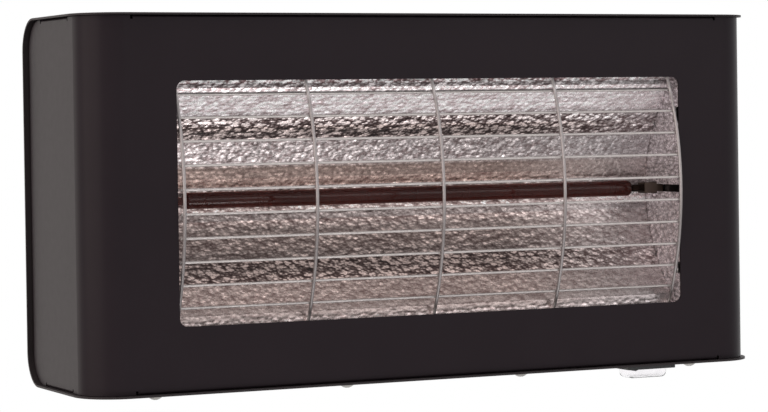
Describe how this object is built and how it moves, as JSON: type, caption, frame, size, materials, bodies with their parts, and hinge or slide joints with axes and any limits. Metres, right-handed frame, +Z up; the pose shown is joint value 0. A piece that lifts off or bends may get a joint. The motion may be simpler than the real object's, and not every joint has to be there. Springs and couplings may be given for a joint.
{
  "type": "infrared bar heater",
  "caption": "Wall-mounted electric infrared bar heater: folded casing, convex wire guard, hammered reflector, quartz lamp, rocker switch and tilting wall bracket.",
  "frame": {"origin": "middle of the wall bracket's back face, on the wall plane and level with the tilt pivot", "axes": "+X to the right as seen from the front, +Y into the wall, +Z up"},
  "size_m": [0.456, 0.1688, 0.2312],
  "materials": {
    "cover_coat": "fine-textured charcoal powder coat, satin",
    "shell_coat": "fine-textured charcoal powder coat, satin",
    "bracket_coat": "charcoal powder coat, satin",
    "zinc_steel": "bright zinc plate",
    "screw_steel": "dulled stainless heads",
    "black_screws": "black oxide, satin",
    "guard_wire": "pale grey nickel plate, satin",
    "hammered_aluminium": "bright stucco-embossed reflector sheet",
    "rivet_aluminium": "plain aluminium rivets",
    "ruby_quartz": "dark ruby-coated quartz, clear gloss",
    "tungsten": "dull tungsten wire",
    "lamp_ceramic": "bare steatite, grey-brown",
    "holder_ceramic": "bare steatite, cream",
    "nickel": "nickel plate",
    "spring_steel": "spring wire",
    "brass": "plain brass",
    "wire_brown": "brown silicone sleeve",
    "wire_black": "black silicone sleeve",
    "wire_blue": "blue silicone sleeve",
    "wire_green": "green and yellow silicone sleeve",
    "grommet_rubber": "black silicone rubber",
    "black_plastic": "moulded black, satin",
    "rocker_plastic": "moulded black, gloss",
    "clear_boot": "clear silicone rubber",
    "white_nylon": "natural nylon"
  },
  "bodies": {
    "wall_mount": {"wall_bracket": "bracket_coat", "pivot_bolts": "zinc_steel", "pivot_washers": "white_nylon", "pivot_nuts": "zinc_steel"},
    "heater": {"front_cover": "cover_coat", "rear_shell": "shell_coat", "cover_hooks": "zinc_steel", "cover_screws": "screw_steel", "cover_nuts": "zinc_steel", "guard_uprights": "guard_wire", "guard_bars": "guard_wire", "reflector_trough": "hammered_aluminium", "reflector_end_left": "hammered_aluminium", "reflector_end_right": "hammered_aluminium", "frame_bracket_left": "zinc_steel", "frame_bracket_right": "zinc_steel", "frame_screws": "black_screws", "frame_nuts": "zinc_steel", "heat_shield": "zinc_steel", "shield_rivets": "rivet_aluminium", "lamp_tube": "ruby_quartz", "lamp_filament": "tungsten", "filament_supports": "tungsten", "lamp_bases": "lamp_ceramic", "lamp_contacts": "nickel", "holder_left": "holder_ceramic", "holder_right": "holder_ceramic", "holder_straps": "zinc_steel", "holder_screws": "zinc_steel", "spring_left": "spring_steel", "spring_right": "spring_steel", "terminal_block": "holder_ceramic", "terminal_screws": "brass", "terminal_fixings": "zinc_steel", "wire_live": "wire_brown", "wire_switched": "wire_black", "wire_neutral": "wire_blue", "wire_earth": "wire_green", "earth_stud": "brass", "wire_grommets": "grommet_rubber", "gland_body": "black_plastic", "gland_cap": "black_plastic", "gland_seal": "grommet_rubber", "gland_locknut": "black_plastic", "switch_housing": "black_plastic", "switch_boot": "clear_boot", "switch_tabs": "brass", "tilt_bracket": "bracket_coat", "bracket_rivets": "rivet_aluminium", "lock_bolts": "zinc_steel", "lock_nuts": "zinc_steel"},
    "rocker": {"switch_rocker": "rocker_plastic"},
    "contact_pin_left": {"contact_left": "nickel"},
    "contact_pin_right": {"contact_right": "nickel"}
  },
  "joints": [
    {"name": "tilt", "type": "hinge", "parent": "wall_mount", "child": "heater", "pos_m": [0, -0.03, 0], "axis": [1, 0, 0], "range_deg": [0, 45]},
    {"name": "rocker_press", "type": "hinge", "parent": "heater", "child": "rocker", "pos_m": [0.154, -0.143, -0.0683], "axis": [0, 1, 0], "range_deg": [0, 22]},
    {"name": "contact_left_press", "type": "slide", "parent": "heater", "child": "contact_pin_left", "axis": [-1, 0, 0], "range_m": [0, 0.0035], "stiffness_N_per_m": 1500, "springref_m": -0.008, "deforming": ["spring_left"]},
    {"name": "contact_right_press", "type": "slide", "parent": "heater", "child": "contact_pin_right", "axis": [1, 0, 0], "range_m": [0, 0.0035], "stiffness_N_per_m": 1500, "springref_m": -0.008, "deforming": ["spring_right"]}
  ]
}
